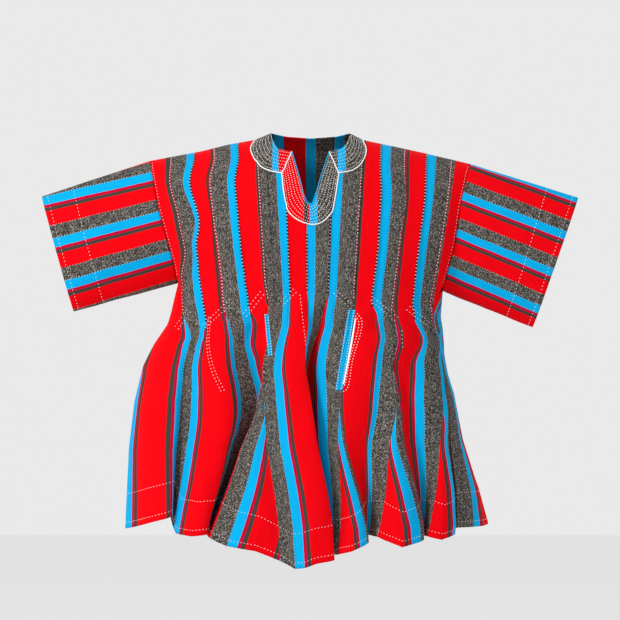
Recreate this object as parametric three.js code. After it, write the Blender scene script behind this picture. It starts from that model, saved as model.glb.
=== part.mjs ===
import * as THREE from 'three';

// Fugu smock, in millimetres. The origin lies at the base of the neck, between the shoulders.
// +X is the right-hand side seen from the front, the front faces -Y, and +Z is up.

const cloth = 1.5;           // thickness of a wall
const seam = 0.3;            // gap between pieces that are sewn together
const tiny = 1e-6;
const armholeHalfDepth = 62; // front to back, from the shoulder line
const armholeGap = 0.7;      // sleeve to body
const yokeRows = 8;          // rows of points from the shoulder to the waist
const skirtRows = 8;         // rows of points from the waist to the hem
const midHeight = -494;      // level of the "mid" columns in the fold table
const yokeLevel = -209;      // level of the "yoke" column in the fold table
const roundness = 2.4;       // how square the body is in plan
const shoulderRound = 170;   // drop over which the cloth turns from the shoulder to the chest
const bandLift = 1.8;        // clearance of a band over the cloth it is sewn to
const bandThick = 1.4;
const weltLift = 0.9;        // clearance of a pocket welt over the front
const foldSpring = 0.8;      // how soon a fold stands out below the waist

// Side outlines from the shoulder tip to the hem: height, then x. The underarm is the lowest armhole row.
const leftEdge = [
  [-38, -307], [-70, -301], [-136, -288], [-182, -275], [-230, -262], [-272, -254], [-300, -261],
  [-326, -267], [-350, -274], [-388, -300], [-430, -321], [-497, -337], [-587, -348], [-739, -355],
];
const rightEdge = [
  [-44, 304], [-66, 297], [-116, 285], [-200, 272], [-262, 256], [-286, 248], [-336, 245],
  [-358, 249], [-408, 253], [-444, 260], [-484, 273], [-570, 290], [-665, 320], [-728, 334],
];
const fullnessFade = { from: 0.8, over: 0.5 }; // shares of the armhole's height
const leftArmhole = { tip: -38, underarm: -272 };
const rightArmhole = { tip: -44, underarm: -286 };

// Depth of the body in front of and behind the shoulder line, at the middle: height, front, back.
const middleDepth = [
  [20, 118, 100], [-110, 120, 104], [-200, 124, 104], [-300, 122, 98], [-360, 122, 100],
  [-494, 148, 130], [-640, 172, 158], [-806, 195, 180],
];

// Shoulder line and necklines: x, then height. The front neckline runs down into the slit.
const shoulderLine = [
  [-307, -38], [-211, -20], [-154, -6], [-108, 2], [-76, 15], [74, 15], [99, 2], [207, -21], [304, -44],
];
const frontNeckline = [
  [-74, 15], [-72, 2], [-63, -17], [-36, -22], [-9, -116], [-3, -122], [3, -120], [15, -80], [34, -22],
  [60, -16], [70, 0], [72, 15],
];
const backNeckline = [[-74, 15], [-45, 9], [0, 6], [45, 9], [72, 15]];

// Each row is one line down the cloth, at a tuck, a fold or the edge of a gore, from left to right.
// yoke, mid and hem are its x at three levels. midOut and hemOut are how far it stands out of the
// body's mean curve there, and hemZ is the height of the hem.
const foldRows = [
  // yoke, mid, hem, midOut, hemOut, hemZ
  [-265, -337, -355, 0, 0, -739],
  [-254, -306, -306, 22, 28, -724],
  [-237, -256, -261, 10, 8, -710],
  [-230, -238, -265, -8, -22, -712],
  [-218, -220, -254, 2, 2, -743],
  [-201, -188, -224, 24, 26, -747],
  [-185, -154, -196, 18, 12, -744],
  [-174, -142, -199, -10, -12, -741],
  [-131, -108, -197, -35, -58, -741],
  [-89, -112, -189, 8, 10, -750],
  [-76, -91, -158, 16, 24, -764],
  [-75, -90, -104, 17, 27, -773],
  [-74, -89, -57, 18, 14, -792],
  [-58, -66, -30, 20, 24, -806],
  [-43, -50, -12, 22, 30, -804],
  [-41, -34, 10, 24, 35, -796],
  [-8, 0, 44, 20, 22, -789],
  [-6, -2, 30, 8, 8, -783],
  [35, -10, 11, -42, -60, -770],
  [37, 12, 28, -12, -22, -775],
  [53, 30, 38, -2, -4, -781],
  [86, 53, 49, 5, 6, -780],
  [87, 55, 76, 6, 34, -773],
  [88, 56, 107, 12, 16, -758],
  [129, 104, 97, 10, -36, -749],
  [144, 117, 108, 4, -24, -745],
  [162, 152, 124, 14, 8, -747],
  [163, 153, 171, 14, 32, -766],
  [165, 162, 211, 12, 12, -754],
  [204, 184, 201, -4, -36, -747],
  [218, 213, 209, 8, -22, -746],
  [242, 243, 217, 12, 6, -747],
  [243, 244, 245, 12, 24, -754],
  [244, 247, 271, 10, 8, -745],
  [246, 253, 268, 2, -14, -735],
  [248, 256, 277, 4, 4, -733],
  [252, 266, 338, 0, 8, -732],
  [268, 276, 334, 0, 0, -728],
];
const lastFold = foldRows.length - 1;
const stripCuts = [0, 3, 8, 12, 18, 24, 29, 34, lastFold]; // fold rows where the woven strips are joined
// parts that the cloth between two rows is divided into
const extraColumns = {
  0: 2, 1: 2, 2: 2, 3: 2, 5: 2, 7: 3, 8: 3, 10: 2, 11: 2, 12: 6, 15: 5, 17: 6, 18: 2, 20: 6, 23: 2, 35: 2,
};
const tuckRows = [2, 4, 6, 9, 11, 14, 17, 19, 22, 25, 27, 30, 32]; // rows where a tuck stands up in the yoke
const tuckRise = 1.2;    // how far a tuck stands up, except under the bands
const underBands = [{ reach: 60, above: -170 }, { reach: 125, above: -75 }]; // from the middle, height
const tuckWidth = 0.9;   // least distance between two lines in the yoke
const normalReach = 4;   // lines closer than this share the direction of their wall
const normalPasses = 1;
const bandPasses = 4;
const longestMitre = 3;  // in thicknesses

// Where the tucks let go: an arc that drops towards the sides, and turns up to the underarm at each end.
const releaseArc = { middle: -289, drop: 75, dropAt: 260, power: 1.3, endShare: 0.07 };
// How the tucked strips lean in towards the waist, in mm for each mm of height.
const yokeLean = { base: 0.06, more: 0.12, moreAt: 260, power: 3, straightWithin: 60, topLevel: -30 };

// The back hangs like the front, with the folds drawn sideways by turns and a more even hem.
const backShift = { reach: 16, wave: 37, hemLevel: -748, hemShare: 0.4, fullness: 0.9, swing: 0.25, swingWave: 70 };

const sleeve = { halfDepth: 44, puff: 4, squareness: 0.75, rings: 7 }; // halfDepth is at the cuff
const cuffs = {
  left: { top: [-514, -106], bottom: [-453, -326] },
  right: { top: [510, -108], bottom: [423, -356] },
};

// Inner and outer edge of each band seen from the front: x, then height.
const bands = {
  left: {
    inside: [[-82, 7], [-77, -4], [-64, -19], [-51, -24], [-38, -26]],
    outside: [[-107, -2], [-114, -17], [-99, -47], [-81, -59], [-58, -64]],
    stations: 24, rows: 5,
  },
  right: {
    inside: [[76, 6], [71, -4], [60, -19], [47, -24], [36, -26]],
    outside: [[98, -2], [104, -22], [96, -42], [80, -58], [56, -64]],
    stations: 24, rows: 5,
  },
  back: {
    inside: [[-74, 8], [-45, 5], [0, 2], [45, 5], [72, 8]],
    outside: [[-106, -2], [-84, -22], [0, -32], [80, -22], [97, -2]],
    stations: 28, rows: 7,
  },
  placket: {
    inside: [[-36, -30], [-12, -116], [-2, -126], [6, -120], [19, -80], [34, -30]],
    outside: [[-55, -66], [-49, -116], [-44, -133], [-27, -151], [2, -161], [21, -156], [39, -137],
      [44, -116], [53, -66]],
    stations: 44, rows: 4,
  },
};

// Pocket welts: places in the fold table, and the heights of their ends.
const welts = {
  left: { from: 8.6, to: 8.95, top: -331, bottom: -395 },
  right: { from: 20.5, to: 20.95, top: -322, bottom: -475 },
  rows: 10, across: 4,
};

const lerp = (a, b, t) => a + (b - a) * t;
const clamp = (v, low, high) => Math.min(high, Math.max(low, v));

// Straight-line lookup in a table sorted by its first column, rising or falling.
function lookup(table, key, column = 1) {
  const rising = table[1][0] > table[0][0];
  const at = (row) => (rising ? row[0] : -row[0]);
  const k = rising ? key : -key;
  if (k <= at(table[0])) return table[0][column];
  for (let i = 1; i < table.length; i++) {
    if (k <= at(table[i])) {
      const share = (k - at(table[i - 1])) / (at(table[i]) - at(table[i - 1]));
      return lerp(table[i - 1][column], table[i][column], share);
    }
  }
  return table[table.length - 1][column];
}

const edgeX = (side, z) => lookup(side < 0 ? leftEdge : rightEdge, z);

// Half the front-to-back size of the armhole ring at a height. It is nothing below the underarm.
function armholeDepth(side, z) {
  const { tip, underarm } = side < 0 ? leftArmhole : rightArmhole;
  const f = (tip - z) / (tip - underarm);
  return f <= 0 || f >= 1 ? 0 : armholeHalfDepth * 2 * Math.sqrt(f * (1 - f));
}

// The same beside the armhole, where the fullness fades out below the underarm.
function sleeveFullness(side, z) {
  const { tip, underarm } = side < 0 ? leftArmhole : rightArmhole;
  const f = (tip - z) / (tip - underarm);
  const fade = clamp(1 - (f - fullnessFade.from) / fullnessFade.over, 0, 1);
  return armholeDepth(side, lerp(tip, underarm, Math.min(f, fullnessFade.from))) * fade;
}

// Depth of the body's mean curve at a place seen from the front. face is -1 in front and 1 behind.
function bodyDepth(face, x, z) {
  const side = x < 0 ? -1 : 1;
  const t = clamp(Math.abs(x / edgeX(side, z)), 0, 1);
  const drop = clamp((lookup(shoulderLine, x) - z) / shoulderRound, 0, 1);
  const round = Math.sqrt(1 - (1 - drop) ** 2);
  const middle = lookup(middleDepth, z, face < 0 ? 1 : 2) * round;
  const edge = t < 1 ? sleeveFullness(side, z) : armholeDepth(side, z);
  const bulge = (1 - t ** roundness) ** (1 / roundness);
  return Math.sqrt(edge ** 2 + Math.max(middle ** 2 - edge ** 2, 0) * bulge ** 2);
}

// The folds of one face, from the rows of the table.
function makeFolds(face) {
  const rows = foldRows.map(([yoke, mid, hem, midOut, hemOut, hemZ], i) => {
    if (face < 0) return { yoke, mid, hem, midOut, hemOut, hemZ };
    const fade = Math.sin(Math.PI * i / lastFold);
    const shift = (x) => backShift.reach * fade * Math.sin(x / backShift.wave);
    const fullness = backShift.fullness + backShift.swing * fade * Math.sin(hem / backShift.swingWave);
    return {
      yoke,
      mid: mid + shift(mid),
      hem: hem + shift(hem),
      midOut: midOut * fullness,
      hemOut: hemOut * fullness,
      hemZ: lerp(hemZ, backShift.hemLevel, backShift.hemShare * fade),
    };
  });
  return { face, rows };
}

// Where the tucks let go: an arc that is lower towards the sides and ends at the underarms.
function releaseHeight(share, x) {
  const { underarm } = share < 0.5 ? leftArmhole : rightArmhole;
  const { middle, drop, dropAt, power, endShare } = releaseArc;
  const arc = middle - drop * (Math.abs(x) / dropAt) ** power;
  const toEdge = clamp(1 - Math.min(share, 1 - share) / endShare, 0, 1);
  return lerp(arc, underarm, toEdge);
}

// x of a line in the yoke, where the strips lean in towards the waist.
function yokeX(yoke, z) {
  const { base, more, moreAt, power, straightWithin } = yokeLean;
  const far = Math.abs(yoke);
  const lean = (base + more * (far / moreAt) ** power) * clamp(far / straightWithin, 0, 1);
  return yoke - Math.sign(yoke) * lean * (yokeLevel - z);
}

// A line down the cloth at position c in the fold table, which may lie between two rows.
function foldLine(folds, c) {
  const i = Math.min(Math.floor(c), lastFold - 1);
  const t = c - i;
  const at = (key) => lerp(folds.rows[i][key], folds.rows[i + 1][key], t);
  const yoke = at('yoke');
  const hemZ = at('hemZ');
  const mid = { x: at('mid'), y: at('midOut') };
  const hem = { x: at('hem'), y: at('hemOut') };
  const side = c === 0 ? -1 : c === lastFold ? 1 : 0;
  const shoulderX = side ? edgeX(side, 0) : yokeX(yoke, yokeLean.topLevel);
  const neckline = folds.face < 0 ? frontNeckline : backNeckline;
  const inNeck = shoulderX > neckline[0][0] && shoulderX < neckline[neckline.length - 1][0];
  const top = lookup(inNeck ? neckline : shoulderLine, shoulderX);
  const release = releaseHeight(c / lastFold, yoke);
  return { side, yoke, mid, hem, hemZ, top, release };
}

// x of a line at a height, and how far it stands out. Below the waist its share of the width counts.
function lineAt(line, z) {
  if (line.side) return { x: edgeX(line.side, z), out: 0 };
  if (z >= line.release) return { x: yokeX(line.yoke, z), out: 0 };
  const share = (x, level) => (x - edgeX(-1, level)) / (edgeX(1, level) - edgeX(-1, level));
  const toMid = clamp((line.release - z) / (line.release - midHeight), 0, 1);
  const toHem = clamp((midHeight - z) / (midHeight - line.hemZ), 0, 1);
  const waist = share(yokeX(line.yoke, line.release), line.release);
  const across = lerp(lerp(waist, share(line.mid.x, midHeight), toMid), share(line.hem.x, line.hemZ), toHem);
  return {
    x: lerp(edgeX(-1, z), edgeX(1, z), across),
    out: lerp(line.mid.y * toMid ** foldSpring, line.hem.y, toHem),
  };
}

// The point on the outer face of the cloth.
function facePoint(face, x, z, out) {
  return new THREE.Vector3(x, face * (Math.max(bodyDepth(face, x, z) + out, 0) + seam / 2), z);
}

function linePoint(folds, line, z) {
  const { x, out } = lineAt(line, z);
  return facePoint(folds.face, x, z, out);
}

// Positions of the columns of points in the fold table.
function columnPlaces() {
  const places = [];
  for (let i = 0; i < lastFold; i++) {
    const parts = extraColumns[i] ?? 1;
    for (let k = 0; k < parts; k++) places.push(i + k / parts);
  }
  places.push(lastFold);
  return places;
}

// The grid of outer points of a face, [column][row]. Tucked lines are kept side by side.
function faceGrid(folds) {
  const places = columnPlaces();
  const lines = places.map((c) => foldLine(folds, c));
  const rows = [];
  for (let r = 0; r <= yokeRows + skirtRows; r++) {
    const v = (1 - Math.cos(Math.PI * Math.min(r / yokeRows, 1))) / 2;
    const w = Math.max(0, (r - yokeRows) / skirtRows);
    const row = lines.map((line) => {
      const z = w > 0 ? lerp(line.release, line.hemZ, w) : lerp(line.top, line.release, v);
      return { z, ...lineAt(line, z) };
    });
    if (r <= yokeRows) {
      for (let j = 1; j < row.length - 1; j++) row[j].x = Math.max(row[j].x, row[j - 1].x + tuckWidth);
      for (let j = row.length - 2; j > 0; j--) row[j].x = Math.min(row[j].x, row[j + 1].x - tuckWidth);
    }
    rows.push(row);
  }
  return places.map((c, j) => ({
    c, points: rows.map((row) => facePoint(folds.face, row[j].x, row[j].z, row[j].out)),
  }));
}

// Unit normals of a grid, pointing out of the face: -1 in front and 1 behind. They are evened out
// between neighbours, so that the wall doesn't cross itself in a tight fold.
function gridNormals(grid, face) {
  const neighbour = (j, r, step) => {
    let k = j;
    while (grid[k + step] && grid[k][r].distanceTo(grid[j][r]) < normalReach) k += step;
    return grid[k][r];
  };
  let normals = grid.map((column, j) => column.map((point, r) => {
    const down = new THREE.Vector3().subVectors(
      column[Math.min(r + 1, column.length - 1)], column[Math.max(r - 1, 0)]).normalize();
    const across = (from, to) => {
      const step = new THREE.Vector3().subVectors(to, from);
      return step.addScaledVector(down, -step.dot(down)).normalize();
    };
    const along = across(point, neighbour(j, r, 1)).add(across(neighbour(j, r, -1), point));
    return along.cross(down).normalize().multiplyScalar(face);
  }));
  for (let pass = 0; pass < normalPasses; pass++) {
    normals = normals.map((column, j) => column.map((normal, r) => {
      const sum = normal.clone();
      for (const k of [j - 1, j + 1]) {
        if (grid[k]) sum.addScaledVector(normals[k][r], normalReach / (normalReach + grid[k][r].distanceTo(grid[j][r])));
      }
      return sum.normalize();
    }));
  }
  return normals;
}

// How much longer a wall's offset is at a bend, so that the wall keeps its thickness on both sides.
function mitre(grid, normals, j, r) {
  let least = 1;
  for (const k of [j - 1, j + 1]) {
    if (!grid[k]) continue;
    const along = new THREE.Vector3().subVectors(grid[k][r], grid[j][r]).normalize();
    least = Math.min(least, Math.sqrt(1 - Math.min(1, normals[j][r].dot(along) ** 2)));
  }
  return 1 / Math.max(least, 1 / longestMitre);
}

// A closed wall between two grids of the same size.
function wall(outer, inner, ring = false) {
  const wide = outer.length;
  const tall = outer[0].length;
  const positions = [];
  for (const grid of [outer, inner]) {
    for (const column of grid) for (const p of column) positions.push(p.x, p.y, p.z);
  }
  const at = (layer, j, r) => layer * wide * tall + (j % wide) * tall + r;
  const index = [];
  const quad = (a, b, c, d) => index.push(a, b, c, a, c, d);
  const spans = ring ? wide : wide - 1;
  for (let j = 0; j < spans; j++) {
    for (let r = 0; r < tall - 1; r++) {
      quad(at(0, j, r), at(0, j, r + 1), at(0, j + 1, r + 1), at(0, j + 1, r));
      quad(at(1, j, r), at(1, j + 1, r), at(1, j + 1, r + 1), at(1, j, r + 1));
    }
    quad(at(0, j, 0), at(0, j + 1, 0), at(1, j + 1, 0), at(1, j, 0));
    quad(at(0, j, tall - 1), at(1, j, tall - 1), at(1, j + 1, tall - 1), at(0, j + 1, tall - 1));
  }
  if (!ring) {
    for (let r = 0; r < tall - 1; r++) {
      quad(at(0, 0, r), at(1, 0, r), at(1, 0, r + 1), at(0, 0, r + 1));
      quad(at(0, wide - 1, r), at(0, wide - 1, r + 1), at(1, wide - 1, r + 1), at(1, wide - 1, r));
    }
  }
  let volume = 0;
  const [a, b, c] = [new THREE.Vector3(), new THREE.Vector3(), new THREE.Vector3()];
  for (let i = 0; i < index.length; i += 3) {
    a.fromArray(positions, index[i] * 3);
    b.fromArray(positions, index[i + 1] * 3);
    c.fromArray(positions, index[i + 2] * 3);
    volume += a.dot(b.cross(c));
  }
  if (volume < 0) for (let i = 0; i < index.length; i += 3) [index[i], index[i + 1]] = [index[i + 1], index[i]];
  const geometry = new THREE.BufferGeometry();
  geometry.setAttribute('position', new THREE.Float32BufferAttribute(positions, 3));
  geometry.setIndex(index);
  geometry.computeVertexNormals();
  return geometry;
}

const smock = new THREE.Group();

function addPiece(name, geometry, color) {
  const material = new THREE.MeshStandardMaterial({ color, roughness: 0.9, metalness: 0 });
  const mesh = new THREE.Mesh(geometry, material);
  mesh.name = name;
  smock.add(mesh);
}

// The strips of the front or the back, with the seam's gap between them.
function addStrips(folds, prefix, colors) {
  const columns = faceGrid(folds);
  const grid = columns.map((column) => column.points);
  const normals = gridNormals(grid, folds.face);
  const raised = grid.map((column, j) => column.map((p, r) => {
    const underBand = underBands.some(({ reach, above }) => Math.abs(p.x) < reach && p.z > above);
    const isTuck = tuckRows.includes(columns[j].c) && r > 0 && r < yokeRows && !underBand;
    return p.clone().addScaledVector(normals[j][r], isTuck ? tuckRise : 0);
  }));
  const inner = grid.map((column, j) => column.map((p, r) => {
    const q = p.clone().addScaledVector(normals[j][r], -cloth * mitre(grid, normals, j, r));
    q.y = folds.face * Math.max(folds.face * q.y, seam / 2);
    return q;
  }));
  const cuts = stripCuts.map((row) => columns.findIndex((column) => column.c === row));
  for (let k = 0; k + 1 < cuts.length; k++) {
    const trim = (layer) => {
      const part = layer.slice(cuts[k], cuts[k + 1] + 1).map((column) => column.map((p) => p.clone()));
      for (const [end, next] of [[0, 1], [part.length - 1, part.length - 2]]) {
        if (cuts[k] + end === 0 || cuts[k] + end === layer.length - 1) continue;
        part[end].forEach((p, r) => {
          const step = new THREE.Vector3().subVectors(part[next][r], p).setLength(seam / 2);
          p.add(step);
        });
      }
      return part;
    };
    addPiece(`${prefix}_strip_${k + 1}`, wall(trim(raised), trim(inner)), colors[k % colors.length]);
  }
  return { grid, normals, columns };
}

// A sleeve is a flattened tube from the armhole ring to the cuff, whose top and bottom are x, z.
function addSleeve(name, side, { top, bottom }, color) {
  const { halfDepth, puff, squareness, rings } = sleeve;
  const { tip, underarm } = side < 0 ? leftArmhole : rightArmhole;
  const around = 2 * yokeRows;
  const outer = [];
  for (let k = 0; k < around; k++) {
    const angle = (Math.PI * k) / yokeRows;
    const f = (1 - Math.cos(angle)) / 2;
    const column = [];
    for (let r = 0; r <= rings; r++) {
      const s = r / rings;
      const armZ = lerp(tip, underarm, f);
      const armX = edgeX(side, armZ) + side * armholeGap;
      const depth = lerp(armholeHalfDepth, halfDepth, s) + puff * Math.sin(Math.PI * s);
      const flat = lerp(1, squareness, s);
      const y = -depth * Math.sign(Math.sin(angle)) * Math.abs(Math.sin(angle)) ** flat;
      column.push(new THREE.Vector3(
        lerp(armX, lerp(top[0], bottom[0], f), s),
        Math.abs(y) < tiny ? 0 : y,
        lerp(armZ, lerp(top[1], bottom[1], f), s)));
    }
    outer.push(column);
  }
  const inner = outer.map((column, k) => column.map((p, r) => {
    const next = outer[(k + 1) % around];
    const last = outer[(k + around - 1) % around];
    const along = new THREE.Vector3().subVectors(next[r], last[r]);
    const away = new THREE.Vector3().subVectors(column[Math.min(r + 1, rings)], column[Math.max(r - 1, 0)]);
    const normal = along.cross(away).normalize();
    const centre = new THREE.Vector3();
    outer.forEach((other) => centre.addScaledVector(other[r], 1 / around));
    if (normal.dot(new THREE.Vector3().subVectors(p, centre)) < 0) normal.negate();
    const q = p.clone().addScaledVector(normal, -cloth);
    if (r === 0) q.x = edgeX(side, q.z) + side * armholeGap;
    return q;
  }));
  addPiece(name, wall(outer, inner, true), color);
}

// The point of a face at a place seen from the front, with the normal there, in some of its columns.
function pointOnFace({ grid, normals, columns }, x, z, from = 0, to = lastFold, lastRow = yokeRows + 1) {
  const area = (a, b, c) => (b.x - a.x) * (c.z - a.z) - (c.x - a.x) * (b.z - a.z);
  const at = { x, z };
  let best = null;
  for (let j = 0; j + 1 < grid.length; j++) {
    if (columns[j].c < from || columns[j + 1].c > to) continue;
    for (let r = 0; r < lastRow; r++) {
      const corners = [[j, r], [j, r + 1], [j + 1, r + 1], [j + 1, r]];
      for (const [a, b, c] of [[0, 1, 2], [0, 2, 3]]) {
        const tri = [corners[a], corners[b], corners[c]];
        const [p, q, s] = tri.map(([u, v]) => grid[u][v]);
        const whole = area(p, q, s);
        if (Math.abs(whole) < tiny) continue;
        const share = [area(at, q, s) / whole, area(p, at, s) / whole, area(p, q, at) / whole];
        const miss = -Math.min(...share, 0);
        if (best && miss >= best.miss) continue;
        const point = new THREE.Vector3();
        const normal = new THREE.Vector3();
        tri.forEach(([u, v], i) => {
          point.addScaledVector(grid[u][v], share[i]);
          normal.addScaledVector(normals[u][v], share[i]);
        });
        best = { miss, point, normal: normal.normalize() };
      }
    }
  }
  return best;
}

// A band that lies on a face, between two lines seen from the front.
function addBand(name, face, { inside, outside, stations, rows }, color) {
  const path = (points) => new THREE.CatmullRomCurve3(
    points.map(([x, z]) => new THREE.Vector3(x, 0, z)), false, 'centripetal');
  const [near, far] = [path(inside), path(outside)];
  const spots = [];
  for (let i = 0; i <= stations; i++) {
    const t = (1 - Math.cos(Math.PI * i / stations)) / 2;
    const [a, b] = [near.getPointAt(t), far.getPointAt(t)];
    spots.push(Array.from({ length: rows + 1 }, (_, r) =>
      pointOnFace(face, lerp(a.x, b.x, r / rows), lerp(a.z, b.z, r / rows))));
  }
  for (let pass = 0; pass < bandPasses; pass++) {
    const before = spots.map((row) => row.map((spot) => spot.normal.clone()));
    spots.forEach((row, i) => row.forEach((spot, r) => {
      for (const [u, v] of [[i - 1, r], [i + 1, r], [i, r - 1], [i, r + 1]]) {
        if (before[u]?.[v]) spot.normal.add(before[u][v]);
      }
      spot.normal.normalize();
    }));
  }
  const layer = (lift) => spots.map((row) => row.map(({ point, normal }) =>
    point.clone().addScaledVector(normal, lift)));
  const [over, under] = [layer(bandLift + bandThick), layer(bandLift)];
  addPiece(name, wall(over, under), color);
}

// A pocket welt lies on the front along the fold lines, between two places in the fold table.
function addWelt(name, face, folds, { from, to, top, bottom }, color) {
  const { rows, across } = welts;
  const layer = (lift) => {
    const grid = [];
    for (let j = 0; j <= across; j++) {
      const line = foldLine(folds, lerp(from, to, j / across));
      const column = [];
      for (let r = 0; r <= rows; r++) {
        const guide = linePoint(folds, line, lerp(top, bottom, r / rows));
        const { point, normal } = pointOnFace(
          face, guide.x, guide.z, Math.floor(from), Math.ceil(to), yokeRows + skirtRows);
        column.push(point.addScaledVector(normal, lift));
      }
      grid.push(column);
    }
    return grid;
  };
  addPiece(name, wall(layer(weltLift + bandThick), layer(weltLift)), color);
}

const red = 0xf50016;
const blue = 0x10b4f2;
const grey = 0x57514c;

const front = addStrips(makeFolds(-1), 'front', [red, grey]);
const back = addStrips(makeFolds(1), 'back', [grey, red]);

addSleeve('sleeve_left', -1, cuffs.left, red);
addSleeve('sleeve_right', 1, cuffs.right, red);

addBand('neck_band_left', front, bands.left, grey);
addBand('neck_band_right', front, bands.right, grey);
addBand('neck_band_back', back, bands.back, grey);
addBand('placket', front, bands.placket, grey);

addWelt('pocket_welt_left', front, makeFolds(-1), welts.left, blue);
addWelt('pocket_welt_right', front, makeFolds(-1), welts.right, blue);

export default smock;
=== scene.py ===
import bpy
import bmesh
import math
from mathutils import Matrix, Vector, noise
from mathutils.bvhtree import BVHTree


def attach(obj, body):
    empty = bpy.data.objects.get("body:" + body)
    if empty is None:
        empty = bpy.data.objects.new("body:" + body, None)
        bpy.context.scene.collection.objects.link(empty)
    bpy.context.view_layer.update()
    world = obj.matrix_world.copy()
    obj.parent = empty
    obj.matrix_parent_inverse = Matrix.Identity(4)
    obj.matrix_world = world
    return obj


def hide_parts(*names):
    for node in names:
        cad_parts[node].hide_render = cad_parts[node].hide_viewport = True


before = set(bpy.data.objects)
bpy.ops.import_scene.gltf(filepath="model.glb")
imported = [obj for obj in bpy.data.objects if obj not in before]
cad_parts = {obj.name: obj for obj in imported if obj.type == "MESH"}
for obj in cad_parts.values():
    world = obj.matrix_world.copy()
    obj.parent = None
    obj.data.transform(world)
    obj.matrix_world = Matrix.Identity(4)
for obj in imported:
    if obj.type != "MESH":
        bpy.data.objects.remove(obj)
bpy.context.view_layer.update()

# The smock is drawn in millimetres, as it was cut, and put down in metres.
mm = 0.001

# camera and lights

view = {
    "distance": 9.0,        # metres from the middle of the smock
    "frameWidth": 1.178,    # what the picture takes in there
    "centre": (-0.002, -0.05, -0.323),
    "sensor": 36.0,
}

lights = {                  # place, size, power
    "key": ((-3.4, -3.2, 2.4), 1.2, 215),
    "fill": ((3.2, -4.0, 0.6), 3.0, 20),
    "back": ((0.0, 3.8, 2.4), 3.0, 60),
}

stage = {"floor": -1.42, "floorReach": 14, "floorShade": 0.9, "floorRough": 0.85, "sky": 0.82, "clip": 60}


def setStage():
    camData = bpy.data.cameras.new("camera")
    camData.sensor_fit = "HORIZONTAL"
    camData.sensor_width = view["sensor"]
    camData.lens = view["sensor"] * view["distance"] / view["frameWidth"]
    camData.clip_end = stage["clip"]
    camera = bpy.data.objects.new("camera", camData)
    x, y, z = view["centre"]
    camera.location = (x, y - view["distance"], z)
    camera.rotation_euler = (math.radians(90), 0, 0)
    bpy.context.collection.objects.link(camera)
    bpy.context.scene.camera = camera

    for name, (place, size, power) in lights.items():
        data = bpy.data.lights.new(name, "AREA")
        data.size = size
        data.energy = power
        lamp = bpy.data.objects.new(name, data)
        lamp.location = place
        aim = Vector(view["centre"]) - Vector(place)
        lamp.rotation_euler = aim.to_track_quat("-Z", "Y").to_euler()
        bpy.context.collection.objects.link(lamp)

    bm = bmesh.new()
    bmesh.ops.create_grid(bm, x_segments=1, y_segments=1, size=stage["floorReach"])
    for v in bm.verts:
        v.co.z = stage["floor"]
    mesh = bpy.data.meshes.new("floor")
    bm.to_mesh(mesh)
    bm.free()
    floor = bpy.data.objects.new("floor", mesh)
    bpy.context.collection.objects.link(floor)
    pale = bpy.data.materials.new("paleFloor")
    pale.use_nodes = True
    shader = pale.node_tree.nodes["Principled BSDF"]
    shader.inputs["Base Color"].default_value = (*[stage["floorShade"]] * 3, 1)
    shader.inputs["Roughness"].default_value = stage["floorRough"]
    mesh.materials.append(pale)

    world = bpy.data.worlds.new("studio")
    world.use_nodes = True
    sky = world.node_tree.nodes["Background"]
    sky.inputs["Color"].default_value = (1, 1, 1, 1)
    sky.inputs["Strength"].default_value = stage["sky"]
    bpy.context.scene.world = world
    bpy.context.scene.view_settings.view_transform = "Standard"


# shader expressions

class Wire:
    def __init__(self, tree, socket=None):
        self.tree, self.socket = tree, socket

    def node(self, kind, settings=None, values=None, out=0):
        made = self.tree.nodes.new(kind)
        for key, value in (settings or {}).items():
            if key == "stops":
                ramp = made.color_ramp
                ramp.interpolation = "CONSTANT"
                while len(ramp.elements) < len(value):
                    ramp.elements.new(0.5)
                for element, (at, color) in zip(ramp.elements, value):
                    element.position = at
                    element.color = (*color, 1)
            else:
                setattr(made, key, value)
        for key, value in (values or {}).items():
            if isinstance(value, Wire):
                self.tree.links.new(value.socket, made.inputs[key])
            else:
                made.inputs[key].default_value = value
        return Wire(self.tree, made.outputs[out])

    def math(self, operation, *others):
        values = {i: value for i, value in enumerate((self, *others))}
        return self.node("ShaderNodeMath", {"operation": operation}, values)

    def flipped(self, operation, other):
        return self.node("ShaderNodeMath", {"operation": operation}, {0: other, 1: self})

    def __add__(self, other):
        return self.math("ADD", other)

    def __radd__(self, other):
        return self.math("ADD", other)

    def __sub__(self, other):
        return self.math("SUBTRACT", other)

    def __rsub__(self, other):
        return self.flipped("SUBTRACT", other)

    def __mul__(self, other):
        return self.math("MULTIPLY", other)

    def __rmul__(self, other):
        return self.math("MULTIPLY", other)

    def __gt__(self, other):
        return self.math("GREATER_THAN", other)

    def __lt__(self, other):
        return self.math("LESS_THAN", other)

    def mix(self, other, share):
        return self.node("ShaderNodeMix", {"data_type": "RGBA"}, {"Factor": share, 6: self, 7: other}, 2)


dye = {
    "red": (0.66, 0.0005, 0.004),
    "blue": (0.0015, 0.32, 0.62),
    "crimson": (0.44, 0.001, 0.024),
    "charcoal": (0.045, 0.039, 0.033),
    "grey": (0.072, 0.065, 0.058),
    "greyDark": (0.02, 0.018, 0.016),
    "greyLight": (0.23, 0.215, 0.195),
    "thread": (0.8, 0.8, 0.78),
    "dullThread": (0.42, 0.4, 0.38),
    "blackThread": (0.006, 0.005, 0.006),
}

# The woven repeat, in pixels of 1.9 mm: where each stripe starts.
bodyRepeat = {"length": 87, "stripes": [
    (0, "blue"), (11, "crimson"), (14.5, "charcoal"), (18.5, "red"), (48.5, "charcoal"),
    (52.5, "crimson"), (56, "blue"), (67, "grey"),
]}
sleeveRepeat = {"length": 44, "stripes": [
    (0, "grey"), (13, "blue"), (22.5, "crimson"), (25.5, "charcoal"), (29, "red"),
]}
pixel = 1.9

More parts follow.
